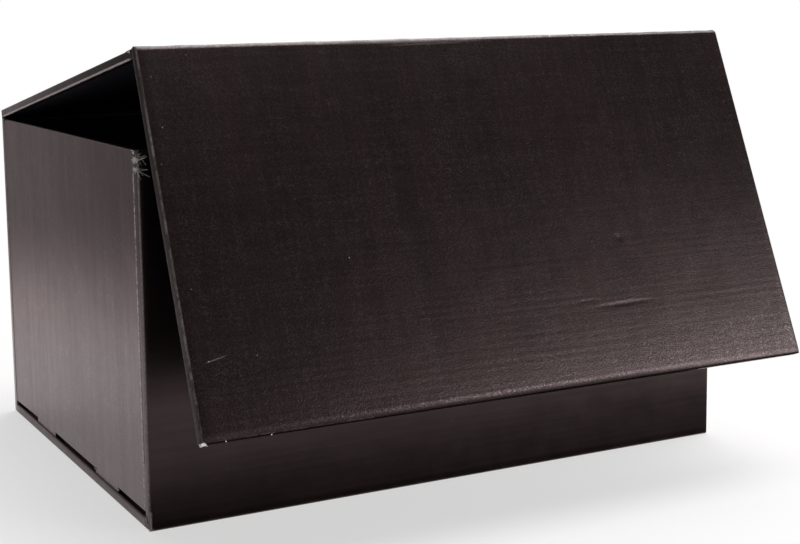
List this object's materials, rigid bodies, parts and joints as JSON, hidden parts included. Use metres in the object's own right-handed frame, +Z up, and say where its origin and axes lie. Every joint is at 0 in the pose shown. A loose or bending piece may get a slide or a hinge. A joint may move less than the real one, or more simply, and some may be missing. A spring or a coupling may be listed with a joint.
{
  "type": "hamper box",
  "caption": "Large gift hamper box of thick wrapped board, lid standing ajar and a full-height front flap hanging open on its paper crease.",
  "frame": {"origin": "middle of the case's underside, on the surface that it stands on", "axes": "+Z up, +X along the box's width to the right seen from the front, +Y from the front wall to the back wall"},
  "size_m": [0.52, 0.5037, 0.3559],
  "materials": {
    "dark_board": "satin",
    "end_board": "satin",
    "magnet": "satin",
    "keeper_steel": "satin"
  },
  "bodies": {
    "case": {"case_body": "dark_board", "left_end_wall": "end_board", "right_end_wall": "end_board", "left_keeper": "keeper_steel", "right_keeper": "keeper_steel"},
    "lid": {"lid": "dark_board"},
    "flap": {"front_flap": "dark_board", "left_flap_magnet": "magnet", "right_flap_magnet": "magnet"}
  },
  "joints": [
    {"name": "lid_hinge", "type": "hinge", "parent": "case", "child": "lid", "pos_m": [0, 0.1952, 0.2822], "axis": [-1, 0, 0], "range_deg": [-9.5, 165.5]},
    {"name": "flap_hinge", "type": "hinge", "parent": "lid", "child": "flap", "pos_m": [0, -0.18862, 0.35393], "axis": [-1, 0, 0], "range_deg": [-13.5, 161.5]}
  ]
}
